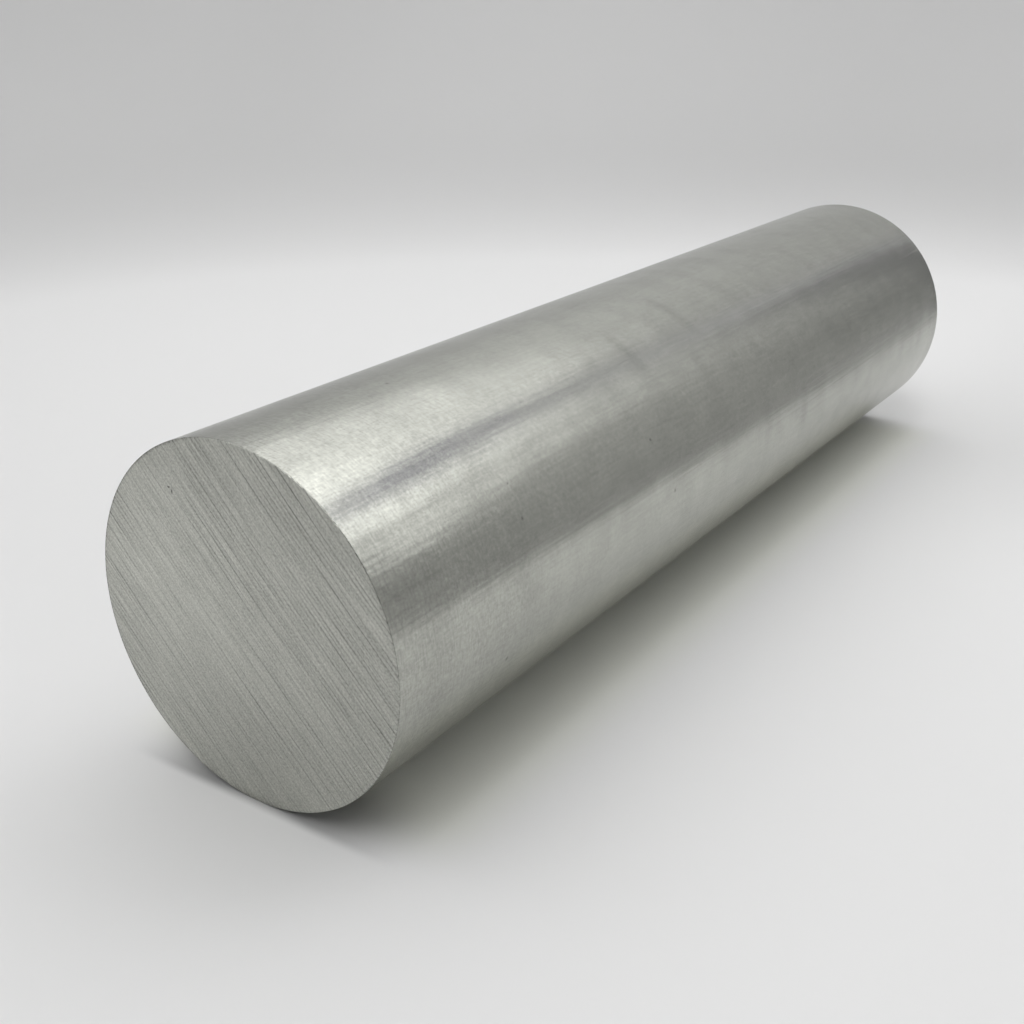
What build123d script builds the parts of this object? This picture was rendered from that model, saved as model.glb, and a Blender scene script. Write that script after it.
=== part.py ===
from build123d import *
import os

# Solid round bar of aluminium, a short length sawn from longer stock.
# Units are millimetres. The bar lies on its side on a level surface, with its axis along Y and its front
# end facing -Y. The origin is on the line where it touches the surface, half way along.

# Driving dimensions
BAR_DIAMETER = 76.2  # 3 in stock, as rolled or drawn
BAR_LENGTH = 304.8  # 12 in, from one saw cut to the other
FRONT_EDGE_BREAK = 0.12  # width of the chamfer that a light deburr leaves on the front rim
REAR_EDGE_BREAK = 0.12  # the same, on the rear rim


def make_blank():
    """The length of stock as it comes off the saw, lying on its side."""
    middle = Plane(origin=(0, 0, BAR_DIAMETER / 2), x_dir=(1, 0, 0), z_dir=(0, -1, 0))
    return extrude(middle * Circle(BAR_DIAMETER / 2), amount=BAR_LENGTH / 2, both=True)


def round_edges(bar):
    """The bar's circular edges in order, from the front end to the rear end."""
    return bar.edges().filter_by(GeomType.CIRCLE).sort_by(Axis.Y)


def make_round_bar():
    """One solid: the blank, with the sharp rim of each sawn end broken by a small chamfer."""
    bar = make_blank()
    bar = chamfer(round_edges(bar)[0], length=FRONT_EDGE_BREAK)
    return chamfer(round_edges(bar)[-1], length=REAR_EDGE_BREAK)


def main():
    os.makedirs("parts", exist_ok=True)
    export_step(make_round_bar(), "parts/round_bar.step")


main()
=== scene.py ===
import math

import bpy
from bpy.props import FloatProperty, FloatVectorProperty, IntProperty, PointerProperty
from bpy.types import Operator, Panel, PropertyGroup
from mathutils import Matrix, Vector
from mathutils.noise import noise


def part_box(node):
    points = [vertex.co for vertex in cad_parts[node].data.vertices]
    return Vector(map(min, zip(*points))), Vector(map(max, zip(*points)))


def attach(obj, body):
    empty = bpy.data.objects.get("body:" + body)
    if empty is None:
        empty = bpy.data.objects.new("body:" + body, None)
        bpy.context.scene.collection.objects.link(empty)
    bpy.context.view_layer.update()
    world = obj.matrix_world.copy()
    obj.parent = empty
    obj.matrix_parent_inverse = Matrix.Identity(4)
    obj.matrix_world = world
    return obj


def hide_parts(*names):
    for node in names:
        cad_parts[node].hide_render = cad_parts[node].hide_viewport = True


bl_info = {
    "name": "Round Bar Maker",
    "version": (1, 0, 0),
    "blender": (4, 5, 0),
    "location": "3D View > Sidebar > Round Bar",
    "description": "Makes a sawn length of round metal bar and the small studio it is shown in",
    "category": "Add Mesh",
}

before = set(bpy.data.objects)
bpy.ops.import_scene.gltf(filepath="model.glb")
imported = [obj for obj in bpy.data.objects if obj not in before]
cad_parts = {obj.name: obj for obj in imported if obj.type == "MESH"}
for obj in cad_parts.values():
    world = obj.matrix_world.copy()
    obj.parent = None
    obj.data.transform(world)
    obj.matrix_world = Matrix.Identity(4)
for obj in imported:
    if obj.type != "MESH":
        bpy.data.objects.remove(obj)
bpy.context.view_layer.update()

CAD_NODE = "round_bar"
LOW_CORNER, HIGH_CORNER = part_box(CAD_NODE)
BAR_RADIUS = (HIGH_CORNER.z - LOW_CORNER.z) / 2
BAR_AXIS_HEIGHT = (HIGH_CORNER.z + LOW_CORNER.z) / 2
FRONT_Y = LOW_CORNER.y
REAR_Y = HIGH_CORNER.y
MM = 0.001
BLACK = (0.0, 0.0, 0.0, 1.0)


# Settings


class BarSettings(PropertyGroup):
    edge_break: FloatProperty(
        name="Edge break",
        description="Width of the small chamfer that a light deburr leaves round each sawn end",
        default=0.00012,
        min=0.00002,
        max=0.002,
        precision=5,
        unit="LENGTH",
        subtype="DISTANCE",
    )
    feed_step: FloatProperty(
        name="Saw feed step",
        description="Distance between the deeper grooves that the saw leaves across an end",
        default=0.0028,
        min=0.0005,
        max=0.01,
        precision=4,
        unit="LENGTH",
        subtype="DISTANCE",
    )
    groove_depth: FloatProperty(
        name="Groove depth",
        description="Depth of the deeper saw grooves",
        default=0.000035,
        min=0.0,
        max=0.0003,
        precision=6,
        unit="LENGTH",
        subtype="DISTANCE",
    )
    fine_line_step: FloatProperty(
        name="Fine line step",
        description="Distance between the fine saw lines that lie between the deeper grooves",
        default=0.00093,
        min=0.0003,
        max=0.01,
        precision=5,
        unit="LENGTH",
        subtype="DISTANCE",
    )
    fine_line_depth: FloatProperty(
        name="Fine line depth",
        description="Depth of the fine saw lines",
        default=0.000005,
        min=0.0,
        max=0.0001,
        precision=6,
        unit="LENGTH",
        subtype="DISTANCE",
    )
    front_saw_angle: FloatProperty(
        name="Front saw angle",
        description="Direction of the saw marks on the front end, measured from level",
        default=math.radians(133.5),
        unit="ROTATION",
        subtype="ANGLE",
    )
    rear_saw_angle: FloatProperty(
        name="Rear saw angle",
        description="Direction of the saw marks on the rear end, measured from level",
        default=math.radians(62.0),
        unit="ROTATION",
        subtype="ANGLE",
    )
    side_colour: FloatVectorProperty(
        name="Side colour",
        description="Colour of the bare metal along the side of the bar",
        default=(0.438, 0.444, 0.405),
        min=0.0,
        max=1.0,
        size=3,
        subtype="COLOR",
    )
    end_colour: FloatVectorProperty(
        name="End colour",
        description="Colour of the freshly sawn metal on both ends",
        default=(0.474, 0.479, 0.440),
        min=0.0,
        max=1.0,
        size=3,
        subtype="COLOR",
    )
    rows: IntProperty(
        name="Rows across an end",
        description="How many rows of faces carry the saw marks across an end",
        default=700,
        min=60,
        max=900,
    )


class StudioSettings(PropertyGroup):
    floor_colour: FloatVectorProperty(
        name="Floor colour",
        description="Colour of the flat floor of the sweep",
        default=(0.795, 0.795, 0.795),
        min=0.0,
        max=1.0,
        size=3,
        subtype="COLOR",
    )
    # Darker than the floor: painted shade where the sweep rises
    wall_colour: FloatVectorProperty(
        name="Wall colour",
        description="Colour of the sweep where it rises behind the bar",
        default=(0.56, 0.56, 0.56),
        min=0.0,
        max=1.0,
        size=3,
        subtype="COLOR",
    )
    # Lighter than the wall: painted light high up on the sweep
    rim_colour: FloatVectorProperty(
        name="Rim colour",
        description="Colour of the sweep high up on its wall",
        default=(0.79, 0.79, 0.79),
        min=0.0,
        max=1.0,
        size=3,
        subtype="COLOR",
    )
    top_light: FloatProperty(
        name="Top light",
        description="Strength of the soft light that comes in from straight above",
        default=1.48,
        min=0.0,
        max=10.0,
    )
    low_light: FloatProperty(
        name="Low light",
        description="Strength of the soft light that comes in just over the rim of the sweep",
        default=1.35,
        min=0.0,
        max=10.0,
    )
    fill_light: FloatProperty(
        name="Fill light",
        description="Strength of the light added on the front right side",
        default=4.56,
        min=0.0,
        max=10.0,
    )
    glow_light: FloatProperty(
        name="Glow light",
        description="Strength of the light added high up at the rear right",
        default=0.632,
        min=0.0,
        max=10.0,
    )
    sweep_flat: FloatProperty(
        name="Flat floor radius",
        description="Radius of the flat part of the sweep",
        default=0.42,
        unit="LENGTH",
        subtype="DISTANCE",
    )
    sweep_bend: FloatProperty(
        name="Sweep bend radius",
        description="Radius of the bend between the floor and the wall",
        default=0.25,
        unit="LENGTH",
        subtype="DISTANCE",
    )
    wall_height: FloatProperty(
        name="Wall height",
        description="Height of the top rim of the sweep above the floor",
        default=0.57,
        unit="LENGTH",
        subtype="DISTANCE",
    )
    camera_turn: FloatProperty(
        name="Camera turn",
        description="Turn of the camera's line of sight from the bar's axis, seen from above",
        default=math.radians(34.06),
        unit="ROTATION",
        subtype="ANGLE",
    )
    camera_tilt: FloatProperty(
        name="Camera tilt",
        description="How far the camera looks down",
        default=math.radians(22.87),
        unit="ROTATION",
        subtype="ANGLE",
    )
    camera_place: FloatVectorProperty(
        name="Camera place",
        description="Where the camera stands, from the middle of the bar's front end",
        default=(0.16021, -0.14598, 0.11334),
        precision=4,
        unit="LENGTH",
        subtype="TRANSLATION",
    )
    lens: FloatProperty(
        name="Lens",
        description="Focal length of the camera on a 36 mm sensor, in millimetres",
        default=44.487,
        min=10.0,
        max=200.0,
    )


# Node helpers


def new_group(name, inputs, output):
    """A shader node group with its input and output nodes. Each input is a socket type, a name and a
    default, and its one output is a number."""
    group = bpy.data.node_groups.new(name, "ShaderNodeTree")
    for kind, label, default in inputs:
        socket = group.interface.new_socket(name=label, in_out="INPUT", socket_type=kind)
        socket.default_value = default
    group.interface.new_socket(name=output, in_out="OUTPUT", socket_type="NodeSocketFloat")
    return group, group.nodes.new("NodeGroupInput"), group.nodes.new("NodeGroupOutput")


def add(tree, kind, inputs=None, **settings):
    """Adds a node. Each entry of inputs is a socket to link from, or a plain value."""
    node = tree.nodes.new(kind)
    for key, value in settings.items():
        setattr(node, key, value)
    for key, value in (inputs or {}).items():
        if isinstance(value, bpy.types.NodeSocket):
            tree.links.new(value, node.inputs[key])
        else:
            node.inputs[key].default_value = value
    return node


def place_group(tree, group, **values):
    """Places a node group with its own values. An underscore in a value's name stands for a space."""
    inputs = {label.replace("_", " "): value for label, value in values.items()}
    return add(tree, "ShaderNodeGroup", inputs, node_tree=group).outputs[0]


def mix_colours(tree, share, first, second):
    """The first colour where the share is 0, and the second where it is 1."""
    inputs = {0: share, 6: first, 7: second}
    return add(tree, "ShaderNodeMix", inputs, data_type="RGBA", clamp_factor=False).outputs[2]


def shaded(tree, colour, share):
    """A colour at a share of its brightness, which may be above 1."""
    return mix_colours(tree, share, BLACK, colour)


def opaque(colour):
    """A colour from the settings, as colour sockets take it."""
    return (*colour, 1.0)


def remap(tree, value, low, high, to_low=0.0, to_high=1.0, smooth=False):
    """A value between low and high stretched to another range, and held at the ends of that range."""
    kind = "SMOOTHSTEP" if smooth else "LINEAR"
    inputs = {"Value": value, "From Min": low, "From Max": high, "To Min": to_low, "To Max": to_high}
    return add(tree, "ShaderNodeMapRange", inputs, interpolation_type=kind, clamp=True).outputs["Result"]


def fade(tree, mask, at_none, at_full):
    """A number that goes evenly from one value to another as a mask goes from 0 to 1."""
    return remap(tree, mask, 0.0, 1.0, at_none, at_full)


def math_node(tree, operation, first, second=0.0):
    """One step of arithmetic on sockets or plain numbers."""
    return add(tree, "ShaderNodeMath", {0: first, 1: second}, operation=operation).outputs[0]


def product(tree, values):
    """All the values multiplied together."""
    result = values[0]
    for value in values[1:]:
        result = math_node(tree, "MULTIPLY", result, value)
    return result


def total(tree, values):
    """All the values added up."""
    result = values[0]
    for value in values[1:]:
        result = math_node(tree, "ADD", result, value)
    return result


# Effects that the metal finishes are made of


def make_stroke_group():
    """Short straight strokes, such as scratches and saw marks: noise drawn out along one direction."""
    inputs = (
        ("NodeSocketFloat", "Turn", 0.0),
        ("NodeSocketVector", "Strokes per metre", (1000.0, 50.0, 1000.0)),
        ("NodeSocketFloat", "Detail", 2.0),
        ("NodeSocketFloat", "From", 0.3),
        ("NodeSocketFloat", "To", 0.7),
    )
    group, start, end = new_group("strokes", inputs, "Strokes")
    place = add(group, "ShaderNodeTexCoord").outputs["Object"]
    turned = add(
        group,
        "ShaderNodeVectorRotate",
        {"Vector": place, "Angle": start.outputs["Turn"]},
        rotation_type="Y_AXIS",
    )
    stretched = add(
        group,
        "ShaderNodeVectorMath",
        {0: turned.outputs["Vector"], 1: start.outputs["Strokes per metre"]},
        operation="MULTIPLY",
    )
    streaky = add(
        group,
        "ShaderNodeTexNoise",
        {
            "Vector": stretched.outputs["Vector"],
            "Scale": 1.0,
            "Detail": start.outputs["Detail"],
            "Roughness": 0.6,
        },
        noise_dimensions="3D",
    )
    level = remap(group, streaky.outputs["Fac"], start.outputs["From"], start.outputs["To"])
    group.links.new(level, end.inputs["Strokes"])
    return group


def make_smudge_group():
    """Soft clouds, such as handling marks and uneven oxide."""
    inputs = (
        ("NodeSocketFloat", "Clouds per metre", 80.0),
        ("NodeSocketFloat", "From", 0.4),
        ("NodeSocketFloat", "To", 0.7),
    )
    group, start, end = new_group("smudges", inputs, "Smudges")
    place = add(group, "ShaderNodeTexCoord").outputs["Object"]
    cloud = add(
        group,
        "ShaderNodeTexNoise",
        {"Vector": place, "Scale": start.outputs["Clouds per metre"], "Detail": 4.0, "Roughness": 0.55},
        noise_dimensions="3D",
    )
    level = remap(group, cloud.outputs["Fac"], start.outputs["From"], start.outputs["To"], smooth=True)
    group.links.new(level, end.inputs["Smudges"])
    return group


def make_mark_group():
    """One soft mark at a chosen place. It is 1 in the middle and falls to 0 at its half size in each
    direction."""
    inputs = (
        ("NodeSocketVector", "Place", (0.0, 0.0, 0.0)),
        ("NodeSocketVector", "Half size", (0.001, 0.001, 0.001)),
    )
    group, start, end = new_group("mark", inputs, "Mark")
    place = add(group, "ShaderNodeTexCoord").outputs["Object"]
    offset = add(group, "ShaderNodeVectorMath", {0: place, 1: start.outputs["Place"]}, operation="SUBTRACT")
    scaled = add(
        group,
        "ShaderNodeVectorMath",
        {0: offset.outputs["Vector"], 1: start.outputs["Half size"]},
        operation="DIVIDE",
    )
    distance = add(group, "ShaderNodeVectorMath", {0: scaled.outputs["Vector"]}, operation="LENGTH")
    level = remap(group, distance.outputs["Value"], 0.0, 1.0, 1.0, 0.0, smooth=True)
    group.links.new(level, end.inputs["Mark"])
    return group


def make_speck_group():
    """Small scattered pits. Only the cells that draw a low number hold one."""
    inputs = (
        ("NodeSocketFloat", "Cells per metre", 300.0),
        ("NodeSocketFloat", "Share of cells", 0.06),
        ("NodeSocketFloat", "Pit size", 0.1),
    )
    group, start, end = new_group("specks", inputs, "Specks")
    place = add(group, "ShaderNodeTexCoord").outputs["Object"]
    cells = add(
        group,
        "ShaderNodeTexVoronoi",
        {"Vector": place, "Scale": start.outputs["Cells per metre"], "Randomness": 1.0},
        feature="F1",
        voronoi_dimensions="3D",
    )
    near = remap(group, cells.outputs["Distance"], 0.0, start.outputs["Pit size"], 1.0, 0.0, smooth=True)
    draw = add(group, "ShaderNodeSeparateColor", {"Color": cells.outputs["Color"]}).outputs["Red"]
    chosen = math_node(group, "LESS_THAN", draw, start.outputs["Share of cells"])
    group.links.new(math_node(group, "MULTIPLY", near, chosen), end.inputs["Specks"])
    return group


# The two metal finishes


SIDE_STROKES = {
    # Strokes per metre along X, Y and Z, detail, and the noise levels that count as none and as full
    "streaks": ((700.0, 16.0, 700.0), 1.0, 0.1, 0.9),
    "hairlines": ((1900.0, 110.0, 1900.0), 1.0, 0.35, 0.75),
    "rings": ((450.0, 2400.0, 450.0), 1.0, 0.35, 0.75),
    "stipple": ((2600.0, 1100.0, 2600.0), 1.0, 0.2, 0.8),
    "bands": ((35.0, 120.0, 35.0), 2.0, 0.3, 0.7),
    "grain": ((1000.0, 1000.0, 1000.0), 1.0, 0.2, 0.8),
    "waves": ((50.0, 50.0, 50.0), 1.0, 0.1, 0.9),
}

SIDE_MARKS = (
    # Turn from the top toward +X in degrees, distance from the front end, half width and half length in
    # millimetres, and darkness. Five small pits:
    (3, 43, 0.6, 0.6, 0.5),
    (65, 43.5, 0.6, 0.6, 0.5),
    (64, 96.5, 0.6, 0.8, 0.5),
    (106, 35, 1.0, 0.7, 0.5),
    (85.5, 103, 0.8, 0.7, 0.5),
    # A dull place and a lengthwise rub near the front end
    (88, 43, 4, 8, 0.10),
    (66, 10, 0.7, 22, 0.12),
    # Dull bands across the top
    (26, 95, 12, 3, 0.05),
    (30, 109, 14, 3.5, 0.14),
    (22, 140, 16, 4, 0.13),
    (28, 171, 12, 5, 0.09),
    (26, 196, 12, 4, 0.05),
    # Dull bands across the right side
    (86, 80, 10, 4, 0.07),
    (100, 111, 12, 4, 0.06),
    (88, 131, 10, 4, 0.08),
    (90, 157, 12, 4, 0.12),
    (88, 182, 13, 4.5, 0.14),
    (92, 222, 12, 5, 0.09),
    (90, 267, 12, 6, 0.08),
)

# The stretch behind the front end where the marks of the saw's vice fade out
HELD_FULLY = 15 * MM
HELD_AT_ALL = 80 * MM

END_STROKES = {
    # Strokes per metre along the saw's travel, Y and across the travel
    "coarse": (30.0, 1.0, 1500.0),
    "fine": (110.0, 1.0, 3400.0),
    "grain": (2500.0, 1.0, 2500.0),
}

END_MARKS = (
    # Place in X and Z from the middle of the front end, half width and half height, all in millimetres,
    # and darkness. A small hooked scratch:
    (-15.9, 25.8, 0.7, 0.35, 0.7),
    (-15.2, 25.1, 0.35, 0.85, 0.8),
    # Painted shade low down and at the upper right, and a painted reflection of bright floor at the left
    (-2.0, -24.0, 34.0, 22.0, 0.10),
    (18.0, 26.0, 20.0, 16.0, 0.07),
    (-18.0, 12.0, 20.0, 26.0, -0.08),
)

# Share of the end colour that clean metal between the saw marks has
CLEAN_METAL = 1.37

# Names of the mesh's values for dirt and painted shade, and for how hard the saw bit
DIRT_AND_SHADE = "dirt_and_shade"
BITE = "bite"


def new_metal(name, middle_roughness):
    """A metal with a middle roughness, which its own finish varies."""
    material = bpy.data.materials.new(name)
    material.use_nodes = True
    tree = material.node_tree
    shader = tree.nodes["Principled BSDF"]
    shader.inputs["Metallic"].default_value = 1.0
    shader.inputs["Roughness"].default_value = middle_roughness
    return material, tree, shader


def finish_metal(tree, shader, colour, roughness, relief):
    """Links a metal's colour, roughness and relief. The relief is a height in millimetres."""
    tree.links.new(colour, shader.inputs["Base Color"])
    tree.links.new(roughness, shader.inputs["Roughness"])
    bump = add(tree, "ShaderNodeBump", {"Strength": 1.0, "Distance": MM, "Height": relief})
    tree.links.new(bump.outputs["Normal"], shader.inputs["Normal"])


def soft_mark(tree, groups, place, half_size):
    """Mask of one soft mark, at a place and of a half size in metres."""
    return place_group(tree, groups["mark"], Place=place, Half_size=half_size)


def side_mark(tree, groups, turn, distance, across, along, darkness):
    """Share of the colour that one of the marks on the side leaves."""
    turn = math.radians(turn)
    place = (
        BAR_RADIUS * math.sin(turn),
        FRONT_Y + distance * MM,
        BAR_AXIS_HEIGHT + BAR_RADIUS * math.cos(turn),
    )
    mark = soft_mark(tree, groups, place, (across * MM, along * MM, across * MM))
    return fade(tree, mark, 1.0, 1.0 - darkness)


def end_mark(tree, groups, x, z, across, up, darkness):
    """Share of the colour that one of the marks on the front end takes away."""
    place = (x * MM, FRONT_Y, BAR_AXIS_HEIGHT + z * MM)
    mark = soft_mark(tree, groups, place, (across * MM, MM, up * MM))
    return product(tree, [mark, darkness])


def make_side_metal(settings, groups):
    """Mill finish: lengthwise streaks and hairlines, soft blotches and bands, grain, specks and a few
    marks. Near the front end, where the saw's vice held the bar, there are faint rings and a fine
    stipple as well."""
    material, tree, shader = new_metal("mill_finish_side", 0.26)
    place = add(tree, "ShaderNodeTexCoord").outputs["Object"]
    y = add(tree, "ShaderNodeSeparateXYZ", {"Vector": place}).outputs["Y"]
    held = remap(tree, y, FRONT_Y + HELD_FULLY, FRONT_Y + HELD_AT_ALL, 1.0, 0.0, smooth=True)
    streaks, hairlines, rings, stipple, bands, grain, waves = (
        place_group(tree, groups["strokes"], Strokes_per_metre=strokes, Detail=detail, From=low, To=high)
        for strokes, detail, low, high in SIDE_STROKES.values()
    )
    blotches = place_group(tree, groups["smudges"], Clouds_per_metre=110.0, From=0.35, To=0.7)
    specks = place_group(tree, groups["specks"], Cells_per_metre=260.0, Share_of_cells=0.04, Pit_size=0.09)

    # The share of the colour that each effect leaves, where it is absent and where it is full
    shares = [
        fade(tree, blotches, 1.03, 0.95),
        fade(tree, streaks, 1.035, 0.965),
        fade(tree, hairlines, 1.035, 0.95),
        fade(tree, product(tree, [rings, held]), 1.06, 0.88),
        fade(tree, bands, 1.025, 0.975),
        fade(tree, grain, 1.08, 0.92),
        total(tree, [1.0, product(tree, [total(tree, [stipple, -0.5]), held, -0.24])]),
        fade(tree, specks, 1.0, 0.5),
    ]
    shares += [side_mark(tree, groups, *mark) for mark in SIDE_MARKS]
    colour = shaded(tree, opaque(settings.side_colour), product(tree, shares))
    roughness = fade(tree, blotches, 0.24, 0.27)
    relief = total(
        tree,
        [
            product(tree, [streaks, 0.03]),
            product(tree, [stipple, held, 0.004]),
            product(tree, [waves, 0.20]),
            product(tree, [specks, -0.03]),
        ],
    )
    finish_metal(tree, shader, colour, roughness, relief)
    return material


def make_end_metal(settings, groups):
    """Sawn finish: strokes along the saw's travel on top of the modelled grooves, which hold a little
    dirt and painted shade, and a painted shadow line along the left of the rim. The strokes show as
    strongly as the saw bit in each place."""
    material, tree, shader = new_metal("sawn_end", 0.42)
    place = add(tree, "ShaderNodeTexCoord").outputs["Object"]
    axes = add(tree, "ShaderNodeSeparateXYZ", {"Vector": place}).outputs
    x, y, z = axes["X"], axes["Y"], axes["Z"]
    up = math_node(tree, "SUBTRACT", z, BAR_AXIS_HEIGHT)
    radius = math_node(tree, "SQRT", total(tree, [product(tree, [up, up]), product(tree, [x, x])]))
    # A painted shadow line along the left of the rim, within half a millimetre of its edge
    rim = remap(tree, radius, BAR_RADIUS - 0.55 * MM, BAR_RADIUS - 0.2 * MM)
    left = remap(tree, x, -6 * MM, -18 * MM)
    turn = remap(tree, y, -MM, MM, settings.front_saw_angle, settings.rear_saw_angle)
    dirt_and_shade = add(tree, "ShaderNodeAttribute", attribute_name=DIRT_AND_SHADE).outputs["Fac"]
    bite = add(tree, "ShaderNodeAttribute", attribute_name=BITE).outputs["Fac"]
    levels = {"Detail": 1.0, "From": 0.3, "To": 0.7}
    coarse, fine = (
        place_group(tree, groups["strokes"], Turn=turn, Strokes_per_metre=END_STROKES[name], **levels)
        for name in ("coarse", "fine")
    )
    grain = place_group(tree, groups["strokes"], Strokes_per_metre=END_STROKES["grain"], **levels)
    blotches = place_group(tree, groups["smudges"], Clouds_per_metre=55.0, From=0.35, To=0.7)

    # The share of the colour that each effect takes away where it is full
    losses = [
        product(tree, [bite, coarse, 0.15]),
        product(tree, [bite, fine, 0.24]),
        product(tree, [grain, 0.32]),
        # Dirt and painted shade in the saw marks, and painted shade along the broken edge
        product(tree, [dirt_and_shade, 0.34]),
        product(tree, [blotches, 0.05]),
        # Painted shadow line along the left of the rim
        product(tree, [rim, left, 0.35]),
    ]
    losses += [end_mark(tree, groups, *mark) for mark in END_MARKS]
    share = math_node(tree, "SUBTRACT", CLEAN_METAL, total(tree, losses))
    colour = shaded(tree, opaque(settings.end_colour), share)
    roughness = fade(tree, fine, 0.38, 0.46)
    relief = total(tree, [product(tree, [bite, coarse, -0.008]), product(tree, [bite, fine, -0.004])])
    finish_metal(tree, shader, colour, roughness, relief)
    return material


# The bar

# Faces along each row of an end, and along the side between the rings next to its edges
END_COLUMNS = 26
SIDE_SPANS = 12
EDGE_MARGIN = 0.5 * MM

# How much dirt and painted shade a groove and a fine line hold, and painted shade on the broken edge
GROOVE_DIRT_AND_SHADE = 0.8
FINE_LINE_DIRT_AND_SHADE = 0.9
EDGE_SHADE = 1.3

# Places in the noise, so that the two ends and the two sets of lines differ
FRONT_SEED = 1.0
REAR_SEED = 40.0
FINE_LINE_SEED = 20


def smooth_step(value, low, high):
    """0 below low, 1 above high and a smooth rise between them."""
    share = min(max((value - low) / (high - low), 0.0), 1.0)
    return share * share * (3 - 2 * share)


def saw_bite(x, z):
    """How hard the saw bit at a place on an end: hardest, at 1, up on one side and along the far rim."""
    lightest, added = 0.7, 0.3
    slope = smooth_step((x + z) / math.sqrt(2), -16 * MM, 12 * MM)
    rim = smooth_step(-x, 22 * MM, 32 * MM)
    return lightest + added * max(slope, rim)


def saw_lines(along, across, step, seed):
    """How deep the nearest of a set of saw lines is at a place on a sawn end, from 0 to 1. The lines
    are evenly spaced and a little bowed, and each comes and goes along its way."""
    bow = 0.6
    wander = 0.15
    half_width = 0.14 * MM
    fade_length = 28 * MM
    bowed = across + along * along * bow
    count = bowed / step
    line = round(count)
    # The factors on the line's number set neighbouring lines well apart in the noise
    off_line = (count - line + wander * noise(Vector((line * 5.3, seed, 2.0)))) * step
    strength = 1.5 * noise(Vector((along / fade_length, line * 3.7, seed))) + 0.5
    return min(max(strength, 0.0), 1.0) * math.exp(-((off_line / half_width) ** 2))


def burr(angle, seed):
    """How far the rim is torn back at an angle from level. The saw tears it most where its teeth leave
    the bar."""
    least, added = 0.03, 0.12
    arc = BAR_RADIUS * angle
    coarse = abs(noise(Vector((arc / (1.3 * MM), seed, 0.0))))
    fine = abs(noise(Vector((arc / (0.4 * MM), seed, 7.0))))
    leaving = smooth_step(math.cos(angle - math.radians(15)), 0.3, 0.8)
    return (coarse + 0.6 * fine) * (least + added * leaving) * MM


class BarMesh:
    """Collects the vertices and faces of the bar: two sawn ends made of rows that lie along the saw
    marks, joined by rings round the side. Every ring has two vertices for each row, evenly spaced."""

    def __init__(self, settings):
        self.settings = settings
        self.rows = settings.rows
        self.vertices = []
        self.faces = []
        self.sawn = []
        self.dirt_and_shade_levels = []
        self.bites = []

    def vertex(self, x, y, z, dirt_and_shade=0.0, bite=0.0):
        """Adds a vertex. Its height is measured from the bar's axis."""
        self.vertices.append((x, y, BAR_AXIS_HEIGHT + z))
        self.dirt_and_shade_levels.append(dirt_and_shade)
        self.bites.append(bite)
        return len(self.vertices) - 1

    def face(self, corners, on_end):
        """Adds a face, with the finish of the ends or of the side."""
        self.faces.append(corners)
        self.sawn.append(on_end)

    def end(self, y, outward, saw_angle, seed):
        """One sawn end. Returns its rim as a list of vertices, counted from the first row round the
        bar."""
        settings = self.settings
        radius = BAR_RADIUS - settings.edge_break
        along_x, along_z = math.cos(saw_angle), math.sin(saw_angle)
        across_x, across_z = -along_z, along_x
        rim = [None] * (2 * self.rows)
        previous = None
        for row in range(self.rows + 1):
            turn = math.pi * row / self.rows
            across, half = -radius * math.cos(turn), radius * math.sin(turn)
            stops = 0 if row in (0, self.rows) else END_COLUMNS
            line = []
            for column in range(stops + 1):
                along = half * (1 - 2 * column / stops) if stops else 0.0
                x = along * along_x + across * across_x
                z = along * along_z + across * across_z
                if column in (0, stops):
                    kept = 1 - burr(math.atan2(z, x), seed) / radius
                    x, z = x * kept, z * kept
                bite = saw_bite(x, z)
                groove = bite * saw_lines(along, across, settings.feed_step, seed)
                fine_line = bite * saw_lines(along, across, settings.fine_line_step, seed + FINE_LINE_SEED)
                depth = settings.groove_depth * groove + settings.fine_line_depth * fine_line
                # The grooves and fine lines hold dirt and painted shade
                dirt_and_shade = GROOVE_DIRT_AND_SHADE * groove + FINE_LINE_DIRT_AND_SHADE * fine_line
                line.append(self.vertex(x, y - outward * depth, z, dirt_and_shade, bite))
            rim[row % (2 * self.rows)] = line[0]
            rim[-row % (2 * self.rows)] = line[-1]
            if previous:
                self.stitch_rows(previous, line, outward)
            previous = line
        return rim

    def stitch_rows(self, first, second, outward):
        """Fills the space between two rows of an end. The first and the last row are a single vertex."""
        for column in range(max(len(first), len(second)) - 1):
            a = first[min(column, len(first) - 1)]
            b = first[min(column + 1, len(first) - 1)]
            c = second[min(column + 1, len(second) - 1)]
            d = second[min(column, len(second) - 1)]
            corners = [a]
            for corner in (b, c, d):
                if corner != corners[-1]:
                    corners.append(corner)
            if outward < 0:
                corners.reverse()
            self.face(corners, True)

    def ring(self, y, start, burr_way=0.0, seed=0.0):
        """A ring of vertices round the side. Place 0 lies where the front end's first row does. A burr
        way of 1 or -1 makes it the edge of a chamfer, which the saw's tearing moves that way along Y,
        into the bar."""
        drawn_in = 0.3
        on_edge = abs(burr_way)
        ring = []
        for step in range(2 * self.rows):
            angle = start + math.pi * step / self.rows
            torn = burr(angle, seed) if on_edge else 0.0
            radius = BAR_RADIUS - drawn_in * torn
            place = (radius * math.cos(angle), y + burr_way * torn, radius * math.sin(angle))
            # The chamfer's edge carries painted shade
            ring.append(self.vertex(*place, EDGE_SHADE * on_edge, on_edge))
        return ring

    def join(self, first, second, on_end):
        """Fills the space between two rings."""
        places = len(first)
        for step in range(places):
            after = (step + 1) % places
            self.face([first[step], first[after], second[after], second[step]], on_end)


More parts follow.
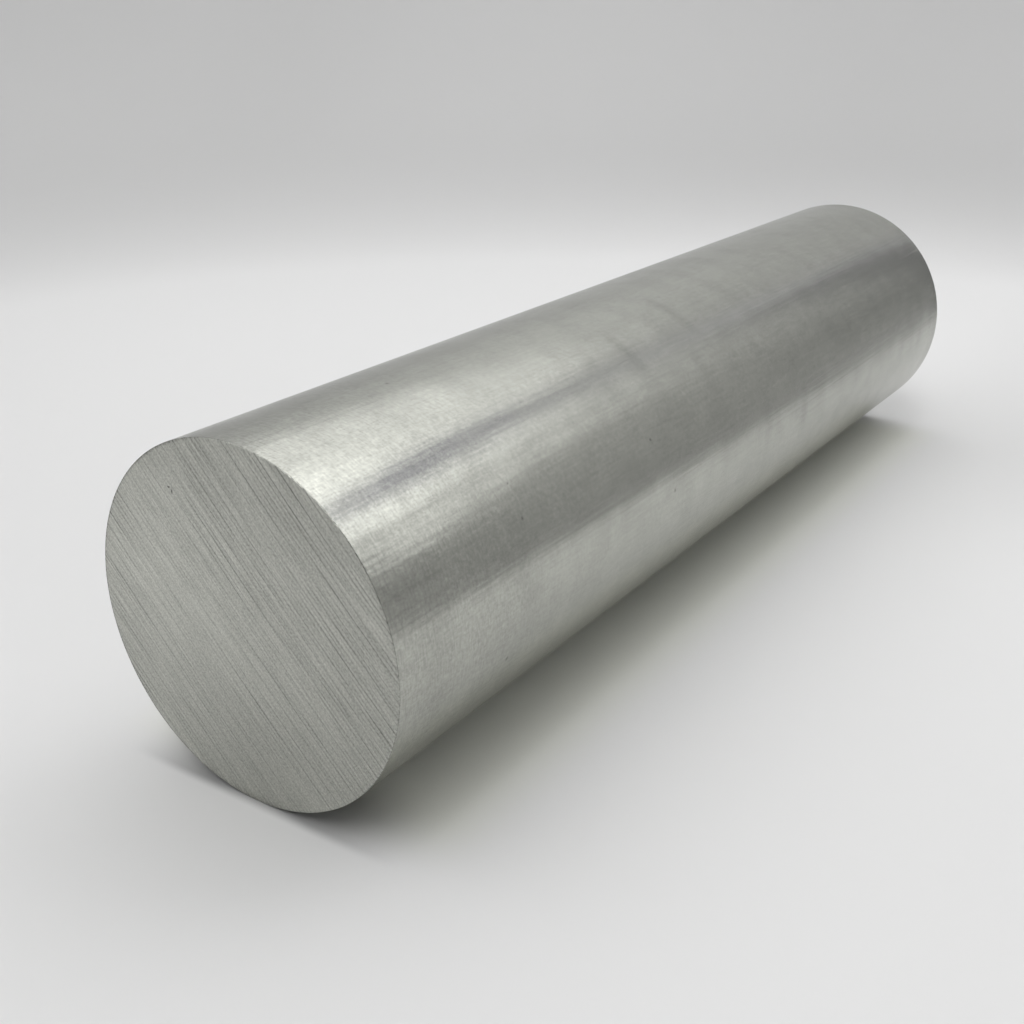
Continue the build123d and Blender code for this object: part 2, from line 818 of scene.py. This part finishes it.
def build_bar_mesh(settings):
    """The bar in one closed mesh. The rear end's rows are turned by a whole number of ring places."""
    bar = BarMesh(settings)
    step = math.pi / bar.rows
    shift = round((settings.rear_saw_angle - settings.front_saw_angle) / step)
    rear_angle = settings.front_saw_angle + shift * step
    front_rim = bar.end(FRONT_Y, -1.0, settings.front_saw_angle, FRONT_SEED)
    rear_rim = bar.end(REAR_Y, 1.0, rear_angle, REAR_SEED)
    start = settings.front_saw_angle - math.pi / 2
    edge = settings.edge_break
    side_front, side_rear = FRONT_Y + edge + EDGE_MARGIN, REAR_Y - edge - EDGE_MARGIN
    rings = [front_rim, bar.ring(FRONT_Y + edge, start, 1.0, FRONT_SEED)]
    for span in range(SIDE_SPANS + 1):
        rings.append(bar.ring(side_front + (side_rear - side_front) * span / SIDE_SPANS, start))
    rings.append(bar.ring(REAR_Y - edge, start, -1.0, REAR_SEED))
    rings.append([rear_rim[(place - shift) % len(rear_rim)] for place in range(len(rear_rim))])
    for number, (first, second) in enumerate(zip(rings, rings[1:])):
        chamfer = number in (0, len(rings) - 2)
        bar.join(first, second, chamfer)
    return bar


def make_bar(settings):
    """The bar's visual piece, with its two finishes, in place of the CAD solid."""
    groups = {
        "strokes": make_stroke_group(),
        "smudges": make_smudge_group(),
        "specks": make_speck_group(),
        "mark": make_mark_group(),
    }
    bar = build_bar_mesh(settings)
    mesh = bpy.data.meshes.new("sawn_round_bar")
    mesh.from_pydata(bar.vertices, [], bar.faces)
    mesh.materials.append(make_side_metal(settings, groups))
    mesh.materials.append(make_end_metal(settings, groups))
    mesh.polygons.foreach_set("material_index", [int(sawn) for sawn in bar.sawn])
    for name, values in ((DIRT_AND_SHADE, bar.dirt_and_shade_levels), (BITE, bar.bites)):
        mesh.attributes.new(name, "FLOAT", "POINT").data.foreach_set("value", values)
    mesh.shade_smooth()
    mesh.set_sharp_from_angle(angle=math.radians(25))
    piece = bpy.data.objects.new("sawn_round_bar", mesh)
    bpy.context.scene.collection.objects.link(piece)
    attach(piece, "root")
    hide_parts(CAD_NODE)
    return piece


# The studio

SWEEP_BENDS = 24
SWEEP_SIDES = 96

# Patches of the sky: turn from the bar's rear toward +X, height above level, and the angles from the
# middle at which the patch begins to fade and is gone, all in degrees
FILL_PATCH = (112.7, 45.9, 38.6, 41.4)
SHADED_PATCH = (98.4, 55.8, 29.5, 32.2)
GLOW_PATCH = (34.9, 61.1, 18.4, 23.6)
VEILED_PATCH = (-8.0, 35.5, 4.0, 15.0)


def sweep_profile(settings):
    """Radius and height of points up the sweep, from the middle of the floor to the rim of its wall."""
    points = [(settings.sweep_flat * share, 0.0) for share in (0.0, 0.25, 0.5, 0.75, 1.0)]
    for bend in range(1, SWEEP_BENDS + 1):
        turn = math.pi / 2 * bend / SWEEP_BENDS
        radius = settings.sweep_flat + settings.sweep_bend * math.sin(turn)
        points.append((radius, settings.sweep_bend * (1 - math.cos(turn))))
    points.append((points[-1][0], settings.wall_height))
    return points


def make_sweep_paper(settings):
    """White paper with painted shade where it rises into the wall, and painted light again up at the rim.
    The floor carries painted light in front of the bar and painted shade at the rear right. Under the bar
    it takes on some of the metal's colour, a painted tint of light thrown back by the metal, and at the
    foot of the front end it holds a painted shadow, its darkest place. The wall and the rim carry painted
    shade toward the right."""
    material = bpy.data.materials.new("sweep_paper")
    material.use_nodes = True
    tree = material.node_tree
    place = add(tree, "ShaderNodeTexCoord").outputs["Object"]
    axes = add(tree, "ShaderNodeSeparateXYZ", {"Vector": place}).outputs
    x, y, z = axes["X"], axes["Y"], axes["Z"]
    beside, along = math_node(tree, "ABSOLUTE", x), math_node(tree, "ABSOLUTE", y)

    # All places are in metres from the middle of the floor
    # Painted light on the floor in front of the bar and painted shade at its rear right
    front_share = remap(tree, y, -0.22, -0.06, 1.045, 1.0, smooth=True)
    right = remap(tree, x, 0.0, 0.12, smooth=True)
    rear = remap(tree, y, 0.03, 0.18, smooth=True)
    rear_right_share = fade(tree, product(tree, [right, rear]), 1.0, 0.84)
    floor = shaded(tree, opaque(settings.floor_colour), product(tree, [front_share, rear_right_share]))

    # A painted tint of light thrown back by the metal into the bar's shadow
    under_side = remap(tree, beside, 0.032, 0.050, 1.0, 0.0, smooth=True)
    under_length = remap(tree, along, 0.135, 0.153, 1.0, 0.0, smooth=True)
    painted_bounce_tint = (0.795, 0.802, 0.748, 1.0)
    floor = mix_colours(tree, product(tree, [under_side, under_length]), floor, painted_bounce_tint)

    # A painted shadow at the foot of the front end
    foot_side = remap(tree, beside, 0.012, 0.038, 1.0, 0.0, smooth=True)
    foot_front = remap(tree, y, -0.155, -0.152, smooth=True)
    foot_rear = remap(tree, y, -0.145, -0.130, 1.0, 0.0, smooth=True)
    painted_shadow_darkness = 0.5
    foot = product(tree, [foot_side, foot_front, foot_rear, painted_shadow_darkness])
    floor = mix_colours(tree, foot, floor, BLACK)

    # Painted shade on the wall and the rim toward the right
    wall_share = remap(tree, x, -0.44, -0.10, 1.0, 0.88, smooth=True)
    wall = shaded(tree, opaque(settings.wall_colour), wall_share)
    rim_share = remap(tree, x, -0.30, -0.06, 1.0, 0.82, smooth=True)
    rim = shaded(tree, opaque(settings.rim_colour), rim_share)

    # The darker wall is painted shade, and the lighter rim is painted light
    flat = add(tree, "ShaderNodeVectorMath", {0: place, 1: (1.0, 1.0, 0.0)}, operation="MULTIPLY")
    radius = add(tree, "ShaderNodeVectorMath", {0: flat.outputs["Vector"]}, operation="LENGTH")
    wall_start = settings.sweep_flat * 0.93
    wall_end = settings.sweep_flat + settings.sweep_bend * 0.6
    on_wall = remap(tree, radius.outputs["Value"], wall_start, wall_end, smooth=True)
    on_rim = remap(tree, z, 0.22, 0.39, smooth=True)
    colour = mix_colours(tree, on_rim, mix_colours(tree, on_wall, floor, wall), rim)
    shader = tree.nodes["Principled BSDF"]
    tree.links.new(colour, shader.inputs["Base Color"])
    shader.inputs["Roughness"].default_value = 0.9
    shader.inputs["Specular IOR Level"].default_value = 0.0
    return material


def make_sweep(settings):
    """The round sweep: a flat floor that bends up into a wall on all sides."""
    profile = sweep_profile(settings)
    vertices, faces = [(0.0, 0.0, 0.0)], []
    for radius, height in profile[1:]:
        for side in range(SWEEP_SIDES):
            turn = math.tau * side / SWEEP_SIDES
            vertices.append((radius * math.cos(turn), radius * math.sin(turn), height))
    for side in range(SWEEP_SIDES):
        faces.append((0, 1 + side, 1 + (side + 1) % SWEEP_SIDES))
    for level in range(len(profile) - 2):
        low, high = 1 + level * SWEEP_SIDES, 1 + (level + 1) * SWEEP_SIDES
        for side in range(SWEEP_SIDES):
            after = (side + 1) % SWEEP_SIDES
            faces.append((low + side, high + side, high + after, low + after))
    mesh = bpy.data.meshes.new("paper_sweep")
    mesh.from_pydata(vertices, [], faces)
    mesh.materials.append(make_sweep_paper(settings))
    mesh.shade_smooth()
    sweep = bpy.data.objects.new("paper_sweep", mesh)
    bpy.context.scene.collection.objects.link(sweep)
    return sweep


def compass(turn, height):
    """Direction at a turn from the bar's rear, toward +X, and a height above level, both in degrees."""
    turn, height = math.radians(turn), math.radians(height)
    return (math.cos(height) * math.sin(turn), math.cos(height) * math.cos(turn), math.sin(height))


def round_patch(tree, direction, turn, height, inner, outer):
    """Mask that is 1 within the inner angle of a direction, in degrees, and falls to 0 at the outer
    angle."""
    middle = compass(turn, height)
    nearness = add(tree, "ShaderNodeVectorMath", {0: direction, 1: middle}, operation="DOT_PRODUCT")
    low, high = math.cos(math.radians(outer)), math.cos(math.radians(inner))
    return remap(tree, nearness.outputs["Value"], low, high, smooth=True)


def make_sky(settings):
    """Soft light over the open top of the sweep. It is strongest low down on the front right side,
    under a round shaded patch. There is a glow high up at the rear right, and a faint veil over the
    rear rim."""
    world = bpy.data.worlds.new("soft_top_light")
    bpy.context.scene.world = world
    world.use_nodes = True
    tree = world.node_tree
    direction = add(tree, "ShaderNodeTexCoord").outputs["Generated"]
    height = add(tree, "ShaderNodeSeparateXYZ", {"Vector": direction}).outputs["Z"]
    patches = (FILL_PATCH, SHADED_PATCH, GLOW_PATCH, VEILED_PATCH)
    fill, shade, glow, veil = (round_patch(tree, direction, *patch) for patch in patches)
    plain = remap(tree, height, 0.345, 0.623, settings.low_light, settings.top_light, smooth=True)
    strength = total(tree, [plain, product(tree, [fill, settings.fill_light])])
    strength = product(tree, [strength, math_node(tree, "SUBTRACT", 1.0, shade)])
    strength = total(tree, [strength, product(tree, [glow, settings.glow_light])])
    over_rim = remap(tree, height, 0.40, 0.44, smooth=True)
    strength = product(tree, [strength, fade(tree, veil, 1.0, 0.85), over_rim])
    background = tree.nodes["Background"]
    background.inputs["Color"].default_value = (1.0, 1.0, 1.0, 1.0)
    tree.links.new(strength, background.inputs["Strength"])


def make_card(name, rows, low_glow, high_glow, tint=(1.0, 1.0, 1.0)):
    """A card that only reflections show. Rows are lists of points, from the bottom edge up. Its glow
    changes with height from its lowest to its highest point."""
    material = bpy.data.materials.new(name)
    material.use_nodes = True
    tree = material.node_tree
    tree.nodes.clear()
    place = add(tree, "ShaderNodeTexCoord").outputs["Object"]
    height = add(tree, "ShaderNodeSeparateXYZ", {"Vector": place}).outputs["Z"]
    bottom = min(point[2] for point in rows[0])
    top = max(point[2] for point in rows[-1])
    strength = remap(tree, height, bottom, top, low_glow, high_glow) if top > bottom else high_glow
    glow = add(tree, "ShaderNodeEmission", {"Color": opaque(tint), "Strength": strength})
    add(tree, "ShaderNodeOutputMaterial", {"Surface": glow.outputs["Emission"]})
    vertices = [point for row in rows for point in row]
    width = len(rows[0])
    faces = [
        (level * width + i, level * width + i + 1, (level + 1) * width + i + 1, (level + 1) * width + i)
        for level in range(len(rows) - 1)
        for i in range(width - 1)
    ]
    mesh = bpy.data.meshes.new(name)
    mesh.from_pydata(vertices, [], faces)
    mesh.materials.append(material)
    card = bpy.data.objects.new(name, mesh)
    card.visible_camera = False
    card.visible_diffuse = False
    card.visible_transmission = False
    card.visible_shadow = False
    bpy.context.scene.collection.objects.link(card)
    return card


DUSK = (0.93, 0.91, 1.0)
BLUE_DUSK = (0.50, 0.46, 1.0)
STRIP_TOP = 0.25
REAR_CARDS_Y = 0.47


def make_right_cards():
    """Dark boards that lean away beside the bar, bright strips above them, and a dark gap behind the
    last one."""
    # The boards' feet and heads in X and Y, and the heights of the heads, from the front to the rear
    foot = [(0.254, 0.05), (0.160, 0.138), (0.112, 0.226), (0.102, 0.303), (0.102, 0.38)]
    head = [(0.247, 0.063), (0.205, 0.138), (0.158, 0.226), (0.133, 0.303), (0.112, 0.38)]
    head_height = [0.157, 0.20, 0.20, 0.19, 0.19]
    waist_share = 0.42
    ground = [(x, y, 0.0) for x, y in foot]
    edge = [(x, y, z) for (x, y), z in zip(head, head_height)]
    waist = [
        tuple(below + waist_share * (above - below) for below, above in zip(*ends))
        for ends in zip(ground, edge)
    ]
    top = [(x, y, STRIP_TOP) for x, y in head]
    make_card("card_right_near_board", [ground[:3], edge[:3]], 0.36, 0.53)
    make_card("card_right_far_board_low", [ground[2:], waist[2:]], 0.46, 0.31)
    make_card("card_right_far_board_high", [waist[2:], edge[2:]], 0.35, 0.60)
    make_card("card_right_near_strip", [edge[:2], top[:2]], 1.42, 1.42)
    make_card("card_right_middle_strip", [edge[1:3], top[1:3]], 1.05, 1.05)
    make_card("card_right_far_strip", [edge[2:], top[2:]], 0.58, 0.58)
    gap = [[(0.112, 0.38, z), (0.08, 0.46, z)] for z in (0.0, STRIP_TOP)]
    make_card("card_rear_gap", gap, 0.08, 0.21, DUSK)


def rear_rows(edges):
    """Rows for a card that stands across the bar's axis, from its left and right edges in X and Z."""
    return [[(x, REAR_CARDS_Y, z) for x, z in row] for row in edges]


def make_rear_cards():
    """Cards that stand behind the bar. The outlines go from the bottom up."""
    # A dark seam that leans to the right at its top
    seam = (
        ((0.066, 0.17), (0.105, 0.17)),
        ((0.083, 0.375), (0.127, 0.375)),
        ((0.082, 0.48), (0.153, 0.475)),
        ((0.094, 0.588), (0.176, 0.545)),
        ((0.118, 0.660), (0.209, 0.562)),
        ((0.160, 0.712), (0.235, 0.581)),
        ((0.256, 0.752), (0.314, 0.604)),
        ((0.322, 0.765), (0.368, 0.632)),
    )
    make_card("card_seam_low", rear_rows(seam[:4]), 0.76, 0.24, DUSK)
    make_card("card_seam_high", rear_rows(seam[3:]), 0.36, 0.09, BLUE_DUSK)

    # A bright window to the right of the seam
    window = (
        ((0.185, 0.37), (0.215, 0.35)),
        ((0.222, 0.453), (0.246, 0.432)),
        ((0.278, 0.563), (0.330, 0.520)),
        ((0.347, 0.613), (0.410, 0.532)),
        ((0.420, 0.645), (0.505, 0.535)),
    )
    make_card("card_right_window", rear_rows(window), 0.6, 3.4)

    # A lamp's glow high up
    lamp = (
        ((-0.06, 0.65), (0.075, 0.65)),
        ((-0.12, 0.715), (0.135, 0.715)),
        ((-0.25, 0.86), (0.25, 0.86)),
    )
    make_card("card_rear_lamp", rear_rows(lamp), 1.2, 3.2)


def make_floor_card():
    """A glowing card just above the paper to the left of the front end, which reflections show as bright
    floor.
    """
    above_floor = 2 * MM
    rows = [[(-0.30, y, above_floor), (-0.08, y, above_floor)] for y in (-0.26, -0.17)]
    make_card("card_floor_left", rows, 0.90, 0.90)


def make_camera(settings):
    """Camera in front of the bar and to its right, looking along it and down at its front end."""
    data = bpy.data.cameras.new("camera")
    data.lens = settings.lens
    data.sensor_width = 36.0
    data.clip_start = 0.01
    camera = bpy.data.objects.new("camera", data)
    bpy.context.scene.collection.objects.link(camera)
    turn, tilt = settings.camera_turn, settings.camera_tilt
    look = Vector((-math.sin(turn) * math.cos(tilt), math.cos(turn) * math.cos(tilt), -math.sin(tilt)))
    camera.location = Vector((0.0, FRONT_Y, BAR_AXIS_HEIGHT)) + Vector(settings.camera_place)
    camera.rotation_euler = look.to_track_quat("-Z", "Y").to_euler()
    bpy.context.scene.camera = camera


# Operators and panel


class ROUNDBAR_OT_make_bar(Operator):
    """Make the sawn length of round bar"""

    bl_idname = "roundbar.make_bar"
    bl_label = "Make round bar"

    def execute(self, context):
        make_bar(context.scene.round_bar)
        return {"FINISHED"}


class ROUNDBAR_OT_make_studio(Operator):
    """Make the paper sweep, the soft light, the cards that reflections show and the camera"""

    bl_idname = "roundbar.make_studio"
    bl_label = "Make studio"

    def execute(self, context):
        settings = context.scene.round_bar_studio
        make_sweep(settings)
        make_sky(settings)
        make_right_cards()
        make_rear_cards()
        make_floor_card()
        make_camera(settings)
        context.scene.view_settings.view_transform = "Standard"
        return {"FINISHED"}


class ROUNDBAR_PT_panel(Panel):
    """The bar's and the studio's settings, with a button for each"""

    bl_label = "Round Bar"
    bl_idname = "ROUNDBAR_PT_panel"
    bl_space_type = "VIEW_3D"
    bl_region_type = "UI"
    bl_category = "Round Bar"

    def draw(self, context):
        for settings, operator in (
            (context.scene.round_bar, "roundbar.make_bar"),
            (context.scene.round_bar_studio, "roundbar.make_studio"),
        ):
            box = self.layout.box()
            for name in settings.__annotations__:
                box.prop(settings, name)
            box.operator(operator)


CLASSES = (BarSettings, StudioSettings, ROUNDBAR_OT_make_bar, ROUNDBAR_OT_make_studio, ROUNDBAR_PT_panel)


def register():
    for cls in CLASSES:
        bpy.utils.register_class(cls)
    bpy.types.Scene.round_bar = PointerProperty(type=BarSettings)
    bpy.types.Scene.round_bar_studio = PointerProperty(type=StudioSettings)


def unregister():
    del bpy.types.Scene.round_bar_studio
    del bpy.types.Scene.round_bar
    for cls in reversed(CLASSES):
        bpy.utils.unregister_class(cls)


def main():
    """Registers the add-on and makes the bar and the studio."""
    register()
    bpy.ops.roundbar.make_bar()
    bpy.ops.roundbar.make_studio()


if __name__ == "__main__":
    main()
